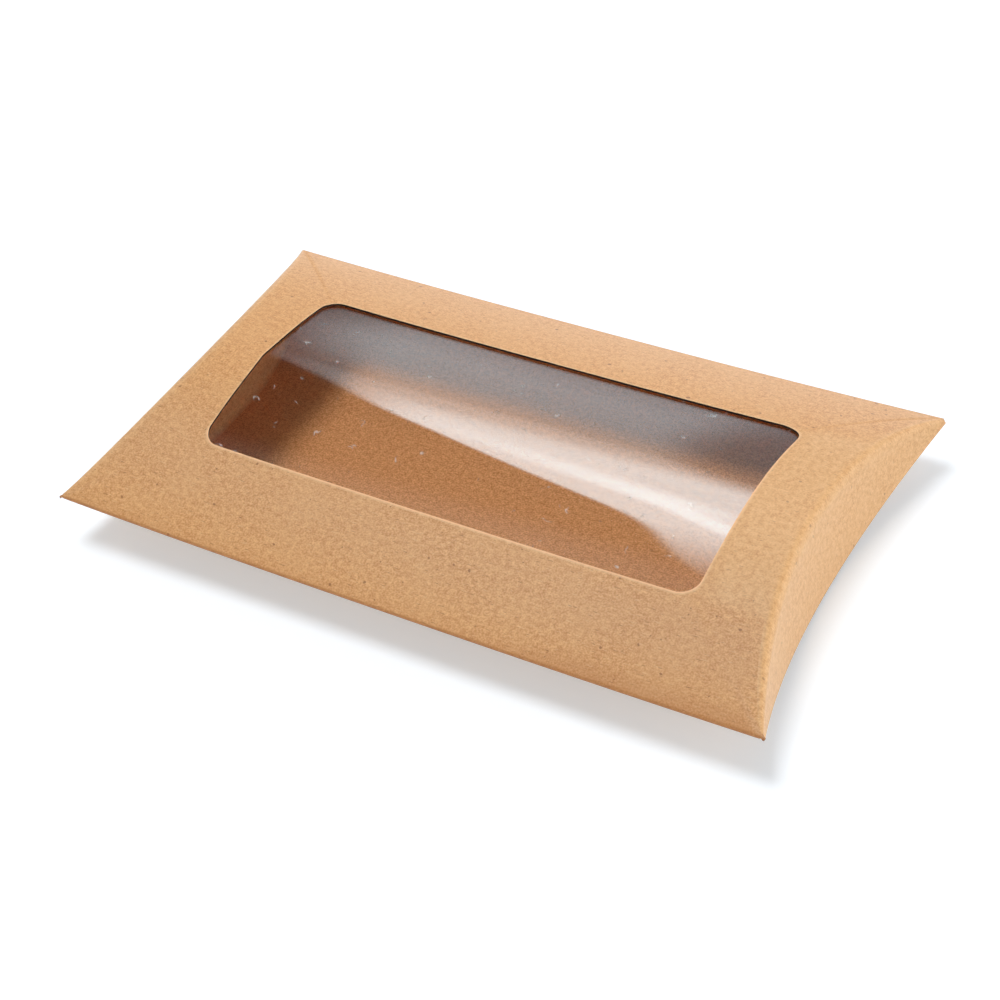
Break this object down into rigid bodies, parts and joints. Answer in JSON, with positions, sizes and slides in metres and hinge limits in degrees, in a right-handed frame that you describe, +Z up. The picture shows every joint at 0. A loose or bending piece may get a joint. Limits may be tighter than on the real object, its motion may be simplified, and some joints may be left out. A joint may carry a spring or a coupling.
{
  "type": "pillow box",
  "caption": "Flat pillow box of brown kraft board with arched panels, concave end flaps that fold open, and a rounded window backed by clear film.",
  "frame": {"origin": "on the resting surface, under the middle of the box", "axes": "+X along the box towards the end that the picture shows on the right, +Y across it away from the viewer, +Z up out of the window"},
  "size_m": [0.154, 0.09, 0.02],
  "materials": {
    "kraft_board": "uncoated natural kraft with flecks of fibre",
    "clear_film": "clear glossy polyester film",
    "adhesive": "dried white dispersion adhesive"
  },
  "bodies": {
    "carton": {"front_panel": "kraft_board", "back_panel": "kraft_board", "glue_flap": "kraft_board", "seam_glue": "adhesive", "window_film": "clear_film", "film_glue_near": "adhesive", "film_glue_far": "adhesive", "film_glue_left": "adhesive", "film_glue_right": "adhesive"},
    "right_outer": {"right_outer_flap": "kraft_board"},
    "right_inner": {"right_inner_flap": "kraft_board"},
    "left_outer": {"left_outer_flap": "kraft_board"},
    "left_inner": {"left_inner_flap": "kraft_board"}
  },
  "joints": [
    {"name": "right_outer_fold", "type": "hinge", "parent": "carton", "child": "right_outer", "pos_m": [0.0677, 0, 0.02], "axis": [0, -1, 0], "range_deg": [0, 85]},
    {"name": "right_inner_fold", "type": "hinge", "parent": "carton", "child": "right_inner", "pos_m": [0.0669, 0, 0], "axis": [0, 1, 0], "range_deg": [0, 85]},
    {"name": "left_outer_fold", "type": "hinge", "parent": "carton", "child": "left_outer", "pos_m": [-0.0677, 0, 0.02], "axis": [0, 1, 0], "range_deg": [0, 85]},
    {"name": "left_inner_fold", "type": "hinge", "parent": "carton", "child": "left_inner", "pos_m": [-0.0669, 0, 0], "axis": [0, -1, 0], "range_deg": [0, 85]}
  ],
  "couplings": [
    {"joint": "right_inner_fold", "follows": "right_outer_fold", "ratio": 1},
    {"joint": "left_inner_fold", "follows": "left_outer_fold", "ratio": 1}
  ]
}
